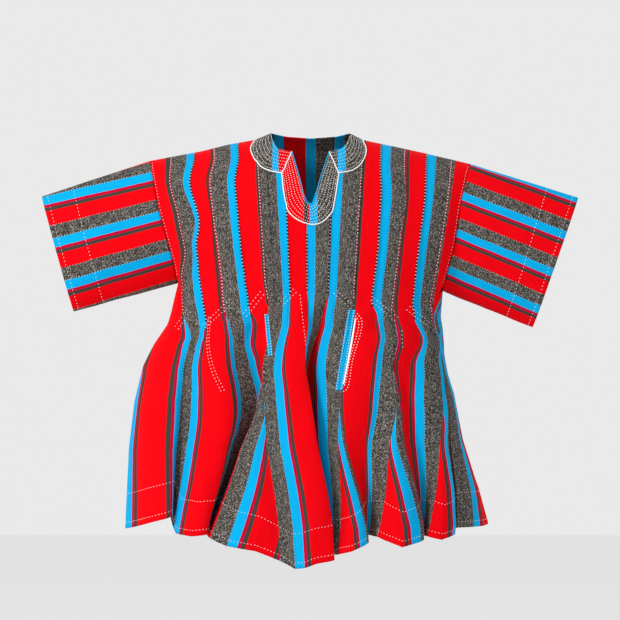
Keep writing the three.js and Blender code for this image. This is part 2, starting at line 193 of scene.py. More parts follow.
weave = {                    # in mm, unless it says otherwise
    "thread": 1.25,          # from one thread to the next
    "fleck": (1.25, 1.7),    # across and along
    "fleckSlant": 0.37,      # shift of the flecks from one thread to the next, as a share
    "fleckShares": (0.3, 0.82),
    "ragged": (5, 1.1),      # how often and how far an edge of a stripe strays
    "streak": (2.2, 40),     # across and along
    "streakShade": (0.83, 0.34),
    "uneven": 3,
    "rough": (0.78, 0.16),
    "bump": 0.35,
    "depth": 0.0005,         # metres
    "shine": 0.04,
    "seamDot": 5.6,          # from one dot of a strip seam to the next
    "seamDark": 0.62,        # share of a dot's length that is black
    "seamWidth": 1.3,
}


def stripedCloth(name, repeat, seams):
    material = bpy.data.materials.new(name)
    material.use_nodes = True
    tree = material.node_tree
    shader = tree.nodes["Principled BSDF"]
    start = Wire(tree)
    across = start.node("ShaderNodeUVMap", {"uv_map": "cloth"})
    unit = repeat["length"] * pixel  # mm in one unit of the map
    split = start.node("ShaderNodeSeparateXYZ", None, {0: across})
    u = Wire(tree, split.socket)
    v = Wire(tree, split.socket.node.outputs[1])
    often, far = weave["ragged"]
    ragged = start.node("ShaderNodeTexNoise", {"noise_dimensions": "2D"},
                        {"Vector": across, "Scale": unit / often, "Detail": 2.0})
    w = (u + (ragged - 0.5) * (far / unit)).math("FRACT")

    stops = [(at / repeat["length"], dye[color]) for at, color in repeat["stripes"]]
    stripes = start.node("ShaderNodeValToRGB", {"stops": stops}, {0: w})
    column = (u * (unit / weave["fleck"][0])).math("FLOOR")
    row = (v * (unit / weave["fleck"][1]) + column * weave["fleckSlant"]).math("FLOOR")
    cells = start.node("ShaderNodeCombineXYZ", None, {0: column, 1: row})
    fleck = start.node("ShaderNodeTexWhiteNoise", {"noise_dimensions": "2D"}, {"Vector": cells})
    middling, pale = weave["fleckShares"]
    marks = [(0.0, dye["greyDark"]), (middling, dye["grey"]), (pale, dye["greyLight"])]
    speckle = start.node("ShaderNodeValToRGB", {"stops": marks}, {0: fleck})
    starts = [at for at, color in repeat["stripes"]] + [repeat["length"]]
    grey = [color for at, color in repeat["stripes"]].index("grey")
    isGrey = (w > starts[grey] / repeat["length"]) * (w < starts[grey + 1] / repeat["length"])
    cloth = stripes.mix(speckle, isGrey)

    wide, long = weave["streak"]
    drawn = start.node("ShaderNodeCombineXYZ", None, {0: u * (unit / wide), 1: v * (unit / long)})
    streak = start.node("ShaderNodeTexNoise", {"noise_dimensions": "2D"},
                        {"Vector": drawn, "Scale": 1.0, "Detail": 3.0})
    base, swing = weave["streakShade"]
    toned = start.node("ShaderNodeVectorMath", {"operation": "SCALE"},
                       {0: cloth, "Scale": streak * swing + base})

    if seams:
        dot = (v * (unit / weave["seamDot"])).math("FRACT") > weave["seamDark"]
        half = weave["seamWidth"] / unit / 2
        onSeam = None
        for at in seams:
            near = (w - at / repeat["length"]).math("ABSOLUTE") < half
            onSeam = near if onSeam is None else onSeam.math("MAXIMUM", near)
        white = start.node("ShaderNodeRGB")
        white.socket.default_value = (*dye["dullThread"], 1)
        black = start.node("ShaderNodeRGB")
        black.socket.default_value = (*dye["blackThread"], 1)
        toned = toned.mix(black.mix(white, dot), onSeam)

    warp = (u * (unit / weave["thread"] * 2 * math.pi)).math("SINE")
    weft = (v * (unit / weave["thread"] * 2 * math.pi)).math("SINE")
    uneven = start.node("ShaderNodeTexNoise", {"noise_dimensions": "2D"},
                        {"Vector": across, "Scale": unit / weave["uneven"], "Detail": 4.0})
    height = warp * weft * 0.5 + uneven
    bump = start.node("ShaderNodeBump", None,
                      {"Strength": weave["bump"], "Distance": weave["depth"], "Height": height})
    least, more = weave["rough"]
    tree.links.new(toned.socket, shader.inputs["Base Color"])
    tree.links.new(bump.socket, shader.inputs["Normal"])
    tree.links.new((uneven * more + least).socket, shader.inputs["Roughness"])
    shader.inputs["Specular IOR Level"].default_value = weave["shine"]
    return material


yarn = {
    "twist": 1400.0,     # noise scale, in Object coordinates
    "bump": 0.5,
    "depth": 0.0002,     # metres
    "dull": 0.82,
    "rough": 0.75,
    "clothRough": 0.85,
    "shine": 0.04,
}


def threadMaterial(name, color):
    material = bpy.data.materials.new(name)
    material.use_nodes = True
    tree = material.node_tree
    shader = tree.nodes["Principled BSDF"]
    start = Wire(tree)
    place = start.node("ShaderNodeTexCoord", None, None, "Object")
    twist = start.node("ShaderNodeTexNoise", None, {"Vector": place, "Scale": yarn["twist"], "Detail": 2.0})
    bump = start.node("ShaderNodeBump", None,
                      {"Strength": yarn["bump"], "Distance": yarn["depth"], "Height": twist})
    dull = start.node("ShaderNodeRGB")
    dull.socket.default_value = (*[c * yarn["dull"] for c in color], 1)
    full = start.node("ShaderNodeRGB")
    full.socket.default_value = (*color, 1)
    tree.links.new(dull.mix(full, twist).socket, shader.inputs["Base Color"])
    tree.links.new(bump.socket, shader.inputs["Normal"])
    shader.inputs["Roughness"].default_value = yarn["rough"]
    shader.inputs["Specular IOR Level"].default_value = yarn["shine"]
    return material


def plainCloth(name, color):
    material = threadMaterial(name, color)
    shader = material.node_tree.nodes["Principled BSDF"]
    shader.inputs["Roughness"].default_value = yarn["clothRough"]
    return material


# cut of the body: outlines and depths in mm

leftEdge = [
    (-38, -307), (-70, -301), (-136, -288), (-182, -275), (-230, -262), (-272, -254), (-300, -261),
    (-326, -267), (-350, -274), (-388, -300), (-430, -321), (-497, -337), (-587, -348), (-739, -355),
]
rightEdge = [
    (-44, 304), (-66, 297), (-116, 285), (-200, 272), (-262, 256), (-286, 248), (-336, 245),
    (-358, 249), (-408, 253), (-444, 260), (-484, 273), (-570, 290), (-665, 320), (-728, 334),
]
armhole = {
    -1: {"tip": -38, "underarm": -272},
    1: {"tip": -44, "underarm": -286},
    "halfDepth": 62, "fadeFrom": 0.8, "fadeOver": 0.5,
}
middleDepth = [  # height, front, back
    (20, 118, 100), (-110, 120, 104), (-200, 124, 104), (-300, 122, 98), (-360, 122, 100),
    (-494, 148, 130), (-640, 172, 158), (-806, 195, 180),
]
shoulderLine = [
    (-307, -38), (-211, -20), (-154, -6), (-108, 2), (-76, 15), (74, 15), (99, 2), (207, -21), (304, -44),
]
frontNeckline = [
    (-74, 15), (-72, 2), (-63, -17), (-36, -22), (-9, -116), (-3, -122), (3, -120), (15, -80), (34, -22),
    (60, -16), (70, 0), (72, 15),
]
backNeckline = [(-74, 15), (-45, 9), (0, 6), (45, 9), (72, 15)]
body = {
    "roundness": 2.4, "shoulderRound": 170, "midHeight": -494, "yokeLevel": -209, "leanLevel": -30,
    "yokeRows": 44, "skirtRows": 70, "spacing": 7.0, "narrow": 10, "thickness": 1.3, "seamGap": 0.15,
    "tuckRise": 2.6, "tuckUnder": 0.25, "tuckFade": 12, "letOut": 26, "seamAside": 1.3,
    "hemTurn": 11, "hemTop": 65, "hemRise": 0.5, "hemStep": 3, "flareSpring": 1.3, "foldSpring": 1.5,
    "puff": 6.0, "puffDrop": 30, "puffWidth": 30, "roundBands": (35, 36), "roundLevel": 0.8,
}
yokeLean = {"least": 0.06, "more": 0.12, "reach": 260, "upright": 60}
releaseArc = {"top": -289, "fall": 75, "reach": 260, "power": 1.3, "sideShare": 0.07}
creases = {                  # mm, and how far apart across and down
    "yoke": 1.6, "skirt": 4.5, "below": 120, "broad": (46, 130), "fine": (21, 60), "fineShare": 0.5,
    "edgeFade": 1.5, "topFade": 40, "pull": 2.6, "pullAcross": 1.7, "pullDown": 46, "pullReach": 38,
}

# A line down the cloth at each tuck, fold or gore: x at the yoke, the middle and the hem,
# how far it stands out at the middle and the hem, and the height of the hem.
foldRows = [
    (-265, -337, -355, 0, 0, -739), (-254, -306, -306, 22, 28, -724), (-237, -256, -261, 10, 8, -710),
    (-230, -238, -265, -8, -22, -712), (-218, -220, -254, 2, 2, -743), (-201, -188, -224, 24, 26, -747),
    (-185, -154, -196, 18, 12, -744), (-174, -142, -199, -10, -12, -741), (-131, -108, -197, -35, -58, -741),
    (-89, -112, -189, 8, 10, -750), (-76, -91, -158, 16, 24, -764), (-75, -90, -104, 17, 27, -773),
    (-74, -89, -57, 18, 14, -792), (-58, -66, -30, 20, 24, -806), (-43, -50, -12, 22, 30, -804),
    (-41, -34, 10, 24, 35, -796), (-8, 0, 44, 20, 22, -789), (-6, -2, 30, 8, 8, -783),
    (35, -10, 11, -42, -60, -770), (37, 12, 28, -12, -22, -775), (53, 30, 38, -2, -4, -781),
    (86, 53, 49, 5, 6, -780), (87, 55, 76, 6, 34, -773), (88, 56, 107, 12, 16, -758),
    (129, 104, 97, 10, -36, -749), (144, 117, 108, 4, -24, -745), (162, 152, 124, 14, 8, -747),
    (163, 153, 171, 14, 32, -766), (165, 162, 211, 12, 12, -754), (204, 184, 201, -4, -36, -747),
    (218, 213, 209, 8, -22, -746), (242, 243, 217, 12, 6, -747), (243, 244, 245, 12, 24, -754),
    (244, 247, 271, 10, 8, -745), (246, 253, 268, 2, -14, -735), (248, 256, 277, 4, 4, -733),
    (252, 266, 338, 0, 8, -732), (268, 276, 334, 0, 0, -728),
]
lastFold = len(foldRows) - 1
tuckRows = [2, 4, 6, 8, 9, 12, 14, 16, 18, 20, 22, 24, 25, 28, 29, 30]
backShift = {"reach": 16, "wave": 37, "hemLevel": -748, "hemShare": 0.4, "fullness": 0.9,
             "swing": 0.25, "swingWave": 70}

# What each band of cloth between two lines shows of the woven repeat: left and right in the yoke, at
# the middle and at the hem. A gore opens from its point at the middle.
bands = [
    (35, 46, 3, 33.5, 1, 33.5), (46, 53.5, 33.5, 56, 33.5, 56), (67, 87, 56, 77, 56, 77),
    (87, 98, 77, 92, 77, 92), (20, 35, 5, 33.5, 5, 33.5), (35, 48.5, 33.5, 48.5, 33.5, 48.5),
    (48.5, 56, 48.5, 62, 48.5, 62), (67, 98, 67, 98, 67, 98), (20, 53.5, 11, 38.5, 11, 38.5),
    (67, 76, 67, 87, 67, 87), (76, 76.5, 86, 87, 87, 116), (76.5, 77, 86, 87, 116, 144.5),
    (77, 87, 69, 87, 69, 87), (0, 10.5, 0, 11, 0, 11), (18.5, 20, 11, 23.5, 11, 23.5),
    (20, 48.5, 23.5, 48.5, 23.5, 48.5), (56, 58, 48.5, 56, 48.5, 56), (56.5, 87, 56, 87, 56, 87),
    (49, 52, 28.5, 56, 28.5, 56), (56, 67, 56, 67, 56, 67), (67, 87, 67, 87, 67, 87),
    (69, 71, 69, 71, 18.5, 44), (71, 73, 71, 73, 44, 70), (15, 47, 14, 48.5, 14, 48.5),
    (56, 67, 48.5, 67, 48.5, 67), (67, 84, 67, 87, 67, 87), (69, 73, 69, 73, 18.5, 46),
    (73, 76, 73, 77, 46, 72), (12, 48, 11, 38.5, 11, 38.5), (56, 67, 48.5, 67, 48.5, 67),
    (67, 85, 67, 87, 67, 87), (68, 68.5, 60, 61, 18.5, 42), (68, 69, 61, 62, 42, 62),
    (85, 87, 67, 77, 67, 77), (86, 87, 77, 87, 77, 87), (30, 33, 67, 76, 67, 133),
    (33, 45, 76, 100, 133, 137),
]
edgeShows = [(-345, 24), (-385, 20), (-410, 15), (-440, 9), (-494, 3), (-739, 1)]  # along the left edge

# The strips wave in the yoke on the left, and lie over sideways where the tucks let go: height,
# then how far the lines at the head of each column lie to the right.
swayLines = [
    (0, 2, 3, 4, 7, 8, 9, 12),
    (20, 23, 24, 25, 27, 29, 30, 32, 37),
]
sway = [
    [
        (-28, 0, -2, 18, 20, 9, 8, 0, 0), (-84, 0, -10, 5, 6, -4, -2, 0, 0),
        (-152, 0, -3, 18, 15, -3, -1, 0, 0), (-209, 0, 0, 5, 3, 0, 0, 0, 0),
        (-266, 0, -15, -3, 1, 1, 3, 0, 0), (-304, 0, -20, -4, 2, 0, 6, 3, 0),
        (-338, 0, -23, -2, 3, 2, 6, 4, 0), (-384, 0, -5, 0, 0, 12, 4, 16, 0),
        (-430, 0, 0, 0, 0, 12, 13, 24, 0), (-494, 0, 0, 0, 0, 10, 19, 11, 0),
        (-600, 0, 0, 0, 0, 0, 0, 0, 0),
    ],
    [
        (-28, 0, 0, -9, -7, 0, -4, -2, -1, 0), (-120, 0, 0, -3, 1, 8, 1, 1, 2, 0),
        (-209, 0, 0, -2, 0, 4, 0, 1, 2, 0), (-304, 0, 0, -6, -3, 1, 1, 2, 0, 0),
        (-340, 0, 2, 4, 5, 0, 8, 8, 8, 0), (-384, 0, 4, 15, 16, 0, 23, 21, 26, 0),
        (-430, 0, 2, 12, 17, 0, 8, 12, 20, 0), (-494, 0, 0, 5, 10, 8, 0, 0, 12, 0),
        (-600, 0, 0, 0, 0, 0, 0, 0, 0, 0),
    ],
]


def lerp(a, b, t):
    return a + (b - a) * t


def clamp(v, low, high):
    return min(high, max(low, v))


def lookup(table, key, column=1, soft=False):
    rising = table[1][0] > table[0][0]
    k = key if rising else -key
    at = [row[0] if rising else -row[0] for row in table]
    if k <= at[0]:
        return table[0][column]
    for i in range(1, len(table)):
        if k <= at[i]:
            share = (k - at[i - 1]) / (at[i] - at[i - 1])
            share = (1 - math.cos(math.pi * share)) / 2 if soft else share
            return lerp(table[i - 1][column], table[i][column], share)
    return table[-1][column]


def edgeX(side, z):
    return lookup(leftEdge if side < 0 else rightEdge, z)


def armholeDepth(side, f):
    return 0 if f <= 0 or f >= 1 else armhole["halfDepth"] * 2 * math.sqrt(f * (1 - f))


def bodyDepth(face, x, z):
    side = -1 if x < 0 else 1
    t = clamp(abs(x / edgeX(side, z)), 0, 1)
    drop = clamp((lookup(shoulderLine, x) - z) / body["shoulderRound"], 0, 1)
    middle = lookup(middleDepth, z, 1 if face < 0 else 2) * math.sqrt(1 - (1 - drop) ** 2)
    ring = armhole[side]
    f = (ring["tip"] - z) / (ring["tip"] - ring["underarm"])
    if t < 1:
        fade = clamp(1 - (f - armhole["fadeFrom"]) / armhole["fadeOver"], 0, 1)
        edge = armholeDepth(side, min(f, armhole["fadeFrom"])) * fade
    else:
        edge = armholeDepth(side, f)
    bulge = (1 - t ** body["roundness"]) ** (1 / body["roundness"])
    return math.sqrt(edge ** 2 + max(middle ** 2 - edge ** 2, 0) * bulge ** 2)


def yokeX(yoke, z):
    lean = yokeLean["least"] + yokeLean["more"] * (abs(yoke) / yokeLean["reach"]) ** 3
    lean *= clamp(abs(yoke) / yokeLean["upright"], 0, 1)
    return yoke - math.copysign(lean, yoke) * (body["yokeLevel"] - z)


def releaseHeight(share, x):
    arc = releaseArc["top"] - releaseArc["fall"] * (abs(x) / releaseArc["reach"]) ** releaseArc["power"]
    toEdge = clamp(1 - min(share, 1 - share) / releaseArc["sideShare"], 0, 1)
    return lerp(arc, armhole[-1 if share < 0.5 else 1]["underarm"], toEdge)


def makeFolds(face):
    rows = []
    for i, (yoke, mid, hem, midOut, hemOut, hemZ) in enumerate(foldRows):
        if face > 0:
            fade = math.sin(math.pi * i / lastFold)
            full = backShift["fullness"] + backShift["swing"] * fade * math.sin(hem / backShift["swingWave"])
            mid += backShift["reach"] * fade * math.sin(mid / backShift["wave"])
            hem += backShift["reach"] * fade * math.sin(hem / backShift["wave"])
            midOut, hemOut = midOut * full, hemOut * full
            hemZ = lerp(hemZ, backShift["hemLevel"], backShift["hemShare"] * fade)
        rows.append({"yoke": yoke, "mid": (mid, midOut), "hem": (hem, hemOut), "hemZ": hemZ})
    return rows


def smoothPoint(points, c):
    i = min(int(c), len(points) - 2)
    t = c - i
    p1, p2 = Vector(points[i]), Vector(points[i + 1])
    p0 = Vector(points[i - 1]) if i else p1 * 2 - p2
    p3 = Vector(points[i + 2]) if i + 2 < len(points) else p2 * 2 - p1
    d0, d1, d2 = (max((b - a).length ** 0.5, 0.3) for a, b in ((p0, p1), (p1, p2), (p2, p3)))
    m1 = ((p1 - p0) / d0 - (p2 - p0) / (d0 + d1) + (p2 - p1) / d1) * d1
    m2 = ((p2 - p1) / d1 - (p3 - p1) / (d1 + d2) + (p3 - p2) / d2) * d1
    return (p1 + m1 * t + (p1 * -3 + p2 * 3 - m1 * 2 - m2) * t ** 2
            + (p1 * 2 - p2 * 2 + m1 + m2) * t ** 3)


def foldLine(face, rows, c):
    i = min(int(c), lastFold - 1)
    t = c - i
    side = -1 if c == 0 else 1 if c == lastFold else 0
    yoke = lerp(rows[i]["yoke"], rows[i + 1]["yoke"], t)
    topX = edgeX(side, 0) if side else yokeX(yoke, body["leanLevel"])
    neckline = frontNeckline if face < 0 else backNeckline
    inNeck = neckline[0][0] < topX < neckline[-1][0]
    top = lookup(neckline if inNeck else shoulderLine, topX)
    if not side and not inNeck:
        for _ in range(4):
            top = lookup(shoulderLine, yokeX(yoke, top) + swayAt(c, top))
    return {
        "side": side, "c": c, "yoke": yoke,
        "mid": smoothPoint([r["mid"] for r in rows], c),
        "hem": smoothPoint([r["hem"] for r in rows], c),
        "hemZ": lerp(rows[i]["hemZ"], rows[i + 1]["hemZ"], t),
        "top": top,
        "release": releaseHeight(c / lastFold, yoke),
    }


def swayAt(c, z):
    for lines, table in zip(swayLines, sway):
        for k in range(1, len(lines)):
            if lines[k - 1] <= c <= lines[k]:
                t = (c - lines[k - 1]) / (lines[k] - lines[k - 1])
                return lerp(lookup(table, z, k, True), lookup(table, z, k + 1, True), t)
    return 0


def through(values, levels, z, spring):
    # a soft curve through three values at three levels, leaving the first faster by the spring
    (a, b, c), (high, middle, low) = values, levels
    first, last = (b - a) / (middle - high), (c - b) / (low - middle)
    bend = (first * (middle - low) + last * (high - middle)) / (high - low)
    if z > middle:
        span, t, start, end = middle - high, (z - high) / (middle - high), (a, first * spring), (b, bend)
    else:
        span, t, start, end = low - middle, (z - middle) / (low - middle), (b, bend), (c, last)
    t = clamp(t, 0, 1)
    return (start[0] * (2 * t ** 3 - 3 * t ** 2 + 1) + start[1] * span * (t ** 3 - 2 * t ** 2 + t)
            + end[0] * (3 * t ** 2 - 2 * t ** 3) + end[1] * span * (t ** 3 - t ** 2))


def lineAt(line, z):
    if line["side"]:
        return edgeX(line["side"], z), 0
    if z >= line["release"]:
        return yokeX(line["yoke"], z) + swayAt(line["c"], z), 0
    levels = (line["release"], body["midHeight"], line["hemZ"])
    across = (yokeX(line["yoke"], levels[0]), line["mid"][0], line["hem"][0])
    shares = []
    for x, level in zip(across, levels):
        shares.append((x - edgeX(-1, level)) / (edgeX(1, level) - edgeX(-1, level)))
    share = through(shares, levels, z, body["flareSpring"])
    out = through((0, line["mid"][1], line["hem"][1]), levels, z, body["foldSpring"])
    return lerp(edgeX(-1, z), edgeX(1, z), share) + swayAt(line["c"], z), out


def columnPlaces(face, rows):
    places = []
    for i in range(lastFold):
        a, b = [Vector((*row["hem"], bodyDepth(face, row["hem"][0], row["hemZ"]))) for row in rows[i:i + 2]]
        width = max((b - a).length, abs(rows[i + 1]["yoke"] - rows[i]["yoke"]))
        parts = max(2, math.ceil(width / body["spacing"]))
        steps = [k / parts for k in range(parts)]
        if width > body["narrow"] and parts > 2:
            steps[1:1] = [0.25 / parts]  # close to the lines, so that the tucks are crisp
            steps.append(1 - 0.25 / parts)
        places += [(i, t) for t in steps]
    return places + [(lastFold - 1, 1.0)]


def tuckHeight(i, t):
    rise = 0
    if i + 1 in tuckRows:
        rise = body["tuckRise"] * t ** 3
    if i in tuckRows:
        rise += body["tuckRise"] * body["tuckUnder"] * (1 - t) ** 2
    return rise


def crease(face, c, x, z, line):
    below = clamp((line["release"] - z) / creases["below"], 0, 1)
    edge = clamp(min(c, lastFold - c) / creases["edgeFade"], 0, 1)
    edge *= clamp((line["top"] - z) / creases["topFade"], 0, 1)
    (broadX, broadZ), (fineX, fineZ) = creases["broad"], creases["fine"]
    soft = noise.noise(Vector((x / broadX, z / broadZ, 3.1 + face)))
    soft += creases["fineShare"] * noise.noise(Vector((x / fineX, z / fineZ, 9.4 + face)))
    pull = noise.noise(Vector((c * creases["pullAcross"], z / creases["pullDown"], 5.2 + face)))
    pull *= math.exp(-abs(z - line["release"]) / creases["pullReach"])
    return edge * (soft * lerp(creases["yoke"], creases["skirt"], below) + pull * creases["pull"])


def bandShows(i, t, skirtT, z, line):
    yokeLeft, yokeRight, midLeft, midRight, hemLeft, hemRight = bands[i]
    opened = clamp((body["midHeight"] - z) / (body["midHeight"] - line["hemZ"]), 0, 1)
    left = lookup(edgeShows, z) if i == 0 else lerp(midLeft, hemLeft, opened)
    skirt = lerp(left, lerp(midRight, hemRight, opened), skirtT)
    return lerp(lerp(yokeLeft, yokeRight, t), skirt, clamp((line["release"] - z) / body["letOut"], 0, 1))


def finishPiece(name, bm, material, nodes, slot, solid=0.0, offset=-1.0):
    mesh = bpy.data.meshes.new(name)
    bm.to_mesh(mesh)
    bm.free()
    for polygon in mesh.polygons:
        polygon.use_smooth = True
    mesh.materials.append(material)
    obj = bpy.data.objects.new(name, mesh)
    bpy.context.collection.objects.link(obj)
    if solid:
        wall = obj.modifiers.new("thickness", "SOLIDIFY")
        wall.thickness = solid * mm
        wall.offset = offset
    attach(obj, "root")
    if nodes:
        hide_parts(*nodes)
    return obj


def faceOut(bm, toward):
    # turn the sheet over if most of it looks the wrong way
    bm.normal_update()
    total = Vector()
    for f in bm.faces:
        total += f.normal * f.calc_area()
    if total.dot(Vector(toward)) < 0:
        bmesh.ops.reverse_faces(bm, faces=bm.faces[:])
        bm.normal_update()


def gridSheet(columns, rows, place, cornerMap):
    bm = bmesh.new()
    bmesh.ops.create_grid(bm, x_segments=columns - 1, y_segments=rows - 1, size=0.5)
    spot = {v: (round((v.co.x + 0.5) * (columns - 1)), round((v.co.y + 0.5) * (rows - 1))) for v in bm.verts}
    layer = bm.loops.layers.uv.new("cloth")
    for f in bm.faces:
        i = min(spot[v][0] for v in f.verts)
        for loop in f.loops:
            loop[layer].uv = cornerMap(i, *spot[loop.vert])
    for v, (i, j) in spot.items():
        v.co = Vector(place(i, j)) * mm
    return bm


def distances(points):
    # how far along the points each one lies
    result = [0.0]
    for a, b in zip(points, points[1:]):
        result.append(result[-1] + (b - a).length)
    return result


def makeBody(face, name, material):
    rows = makeFolds(face)
    places = columnPlaces(face, rows)
    lines = [foldLine(face, rows, i + t) for i, t in places]
    tall = body["yokeRows"] + body["skirtRows"] + 1

    def heightAt(line, j):
        if j <= body["yokeRows"]:
            v = j / body["yokeRows"]
            return lerp(line["top"], line["release"], v ** 1.5 * (1 - v) + v * v)
        return lerp(line["release"], line["hemZ"], (j - body["yokeRows"]) / body["skirtRows"])

    def place(i, j):
        line = lines[i]
        z = heightAt(line, j)
        x, out = lineAt(line, z)
        out += crease(face, line["c"], x, z, line)
        stitched = clamp(min(z - line["release"], line["top"] - z) / body["tuckFade"], 0, 1)
        out += tuckHeight(*places[i]) * stitched
        band, t = places[i]
        wide = clamp((rows[band + 1]["yoke"] - rows[band]["yoke"]) / body["puffWidth"], 0, 1)
        fromPuff = (line["release"] - z) / body["puffDrop"] - 1
        out += body["puff"] * wide * math.sin(math.pi * t) * math.exp(-2 * fromPuff ** 2)
        above = z - line["hemZ"]
        out += body["hemRise"] * clamp((body["hemTop"] - above) / body["hemStep"], 0, 1)
        depth = bodyDepth(face, x, z) + (0 if line["side"] else out)
        return x, face * (max(depth, 0) + body["seamGap"]), z

    # how far along its band each column lies, measured round the skirt
    level = body["yokeRows"] + body["skirtRows"] * body["roundLevel"]
    rounds = distances([Vector(place(i, level)) for i in range(len(places))])
    heads = [rounds[places.index((k, 0.0))] for k in range(lastFold)] + [rounds[-1]]
    downs = [distances([Vector(place(i, j)) for j in range(tall)]) for i in range(len(places))]

    def cornerMap(i, vi, vj):
        band, t = places[i]
        if vi != i:
            band2, t2 = places[vi]
            t = t2 if band2 == band else 1.0
        z = heightAt(lines[vi], vj)
        around = (rounds[vi] - heads[band]) / (heads[band + 1] - heads[band])
        skirtT = around if band in body["roundBands"] else t
        return (bandShows(band, t, skirtT, z, lines[vi]) / bodyRepeat["length"],
                downs[vi][vj] / (bodyRepeat["length"] * pixel))

    bm = gridSheet(len(places), tall, place, cornerMap)
    faceOut(bm, (0, face, 0))
    tree = BVHTree.FromBMesh(bm)
    prefix = "front" if face < 0 else "back"
    piece = finishPiece(name, bm, material, [f"{prefix}_strip_{k}" for k in range(1, 9)],
                        "striped_cloth", body["thickness"])
    print(name, len(places), "columns", tall, "rows")
    return piece, tree, lines, place


# sleeves

sleeves = {
    "left": {
        "side": -1, "top": (-514, -106), "bottom": (-453, -326),
        "start": (0, 13), "height": (137, 120),  # stripes, from the armhole to the end
    },
    "right": {
        "side": 1, "top": (510, -108), "bottom": (423, -356),
        "start": (22.5, 16), "height": (152, 155),
    },
    "halfDepth": 44, "puff": 4, "squareness": 0.75, "around": 96, "along": 46, "thickness": 1.3,
    "length": 220, "joinGap": 0.5, "foldAngle": 0.35,
    "crease": 3.4, "fineShare": 0.6, "joinCalm": 9, "sag": 2.2, "topSag": 0.4,
}


def sleevePoint(cut, angle, s):
    ring = armhole[cut["side"]]
    f = (1 - math.cos(angle)) / 2
    armZ = lerp(ring["tip"], ring["underarm"], f)
    armX = edgeX(cut["side"], armZ) + cut["side"] * sleeves["joinGap"]
    depth = lerp(armhole["halfDepth"], sleeves["halfDepth"], s) + sleeves["puff"] * math.sin(math.pi * s)
    flat = lerp(1, sleeves["squareness"], s)
    lean = math.sin(angle)
    wave = noise.noise(Vector((s * 2.3, f * 7 + (3 if lean < 0 else 0), 2.7 + cut["side"])))
    wave += sleeves["fineShare"] * noise.noise(Vector((s * 5 + f * 6, f * 3, 8.1 + cut["side"])))
    away = 1 - math.exp(-s * sleeves["joinCalm"])  # no creases at the armhole
    y = -(depth + sleeves["crease"] * wave * away) * math.copysign(abs(lean) ** flat, lean)
    sag = sleeves["sag"] * noise.noise(Vector((s * 4.1, 1.3, cut["side"] * 2))) * away * (1 - s * 0.7)
    sag *= 1 if f > 0.5 else sleeves["topSag"]
    return (lerp(armX, lerp(cut["top"][0], cut["bottom"][0], f), s), y,
            lerp(armZ, lerp(cut["top"][1], cut["bottom"][1], f), s) + sag)


def makeSleeve(label, material):
    cut = sleeves[label]
    around, along = sleeves["around"], sleeves["along"]

    def place(i, j):
        return sleevePoint(cut, 2 * math.pi * i / around, j / along)

    def cornerMap(i, vi, vj):
        # Stripes go by the height seen from the front, and by the cloth's own length over the folds.
        s = vj / along
        angle = 2 * math.pi * min(vi, around - vi) / around
        height = lerp(*cut["height"], s)
        depth = lerp(armhole["halfDepth"], sleeves["halfDepth"], s) / pixel
        fold = sleeves["foldAngle"]
        near = clamp(angle, fold, math.pi - fold)
        past = depth * (math.sin(near) - math.sin(angle)) * (1 if angle > near else -1)
        fromFold = height * (1 - math.cos(near)) / 2 + past
        if i >= around / 2:
            atFold = height * (1 - math.cos(fold)) / 2 - depth * math.sin(fold)
            fromFold = 2 * atFold - fromFold
        shown = lerp(*cut["start"], s) + fromFold
        return shown / sleeveRepeat["length"], s * sleeves["length"] / (sleeveRepeat["length"] * pixel)

    bm = gridSheet(around + 1, along + 1, place, cornerMap)
    bmesh.ops.remove_doubles(bm, verts=bm.verts[:], dist=0.00002)
    bmesh.ops.recalc_face_normals(bm, faces=bm.faces[:])
    bm.normal_update()
    middle = sum((v.co for v in bm.verts), Vector()) / len(bm.verts)
    if sum(f.normal.dot(f.calc_center_median() - middle) for f in bm.faces) < 0:
        bmesh.ops.reverse_faces(bm, faces=bm.faces[:])
    tree = BVHTree.FromBMesh(bm)
    piece = finishPiece(f"sleeve_{label}_cloth", bm, material, [f"sleeve_{label}"], "striped_cloth",
                        sleeves["thickness"])
    print("sleeve", label)
    return piece, tree


# neck bands and placket, drawn on the front and back as seen from the front

trims = {
    "lift": 0.5, "rolled": 0.7, "thickness": 1.3, "offset": -0.6, "stations": 90, "rows": 12, "fine": 400,
    "left": {
        "near": [(-73, 13), (-71, 2), (-62, -16.5), (-50, -20.5), (-37, -22.5)],
        "far": [(-106, 1), (-114.5, -16.5), (-99, -47.5), (-81, -59), (-55, -64.5)],
    },
    "right": {
        "near": [(71, 13), (69, 1), (59, -15.5), (47, -20.5), (35, -22.5)],
        "far": [(98, 1), (104.5, -20), (96, -44), (80, -58), (52.5, -64.5)],
    },
    "back": {
        "near": [(-73, 13), (-45, 7.5), (0, 4.5), (45, 7.5), (71, 13)],
        "far": [(-106, 0), (-84, -22), (0, -32), (80, -22), (97, 0)],
    },
    "placket": {
        "near": [(-36.5, -23.5), (-24, -66), (-10.5, -116), (-3, -124), (4, -122), (16, -80), (34.5, -23.5)],
        "far": [(-55, -65), (-49, -116), (-44.5, -134), (-27, -151.5), (2, -161.5), (21, -157), (39, -138),
                (44.5, -116), (52.5, -65)],
    },
}


def curvePoints(points, count):
    # points at even spacing along a smooth line through the given ones
    parts = trims["fine"]
    fine = [smoothPoint(points, k * (len(points) - 1) / parts) for k in range(parts + 1)]
    lengths = distances(fine)
    result = []
    k = 0
    for n in range(count + 1):
        goal = lengths[-1] * n / count
        while k < parts - 1 and lengths[k + 1] < goal:
            k += 1
        gap = max(lengths[k + 1] - lengths[k], 1e-9)
        result.append(fine[k].lerp(fine[k + 1], clamp((goal - lengths[k]) / gap, 0, 1)))
    return result


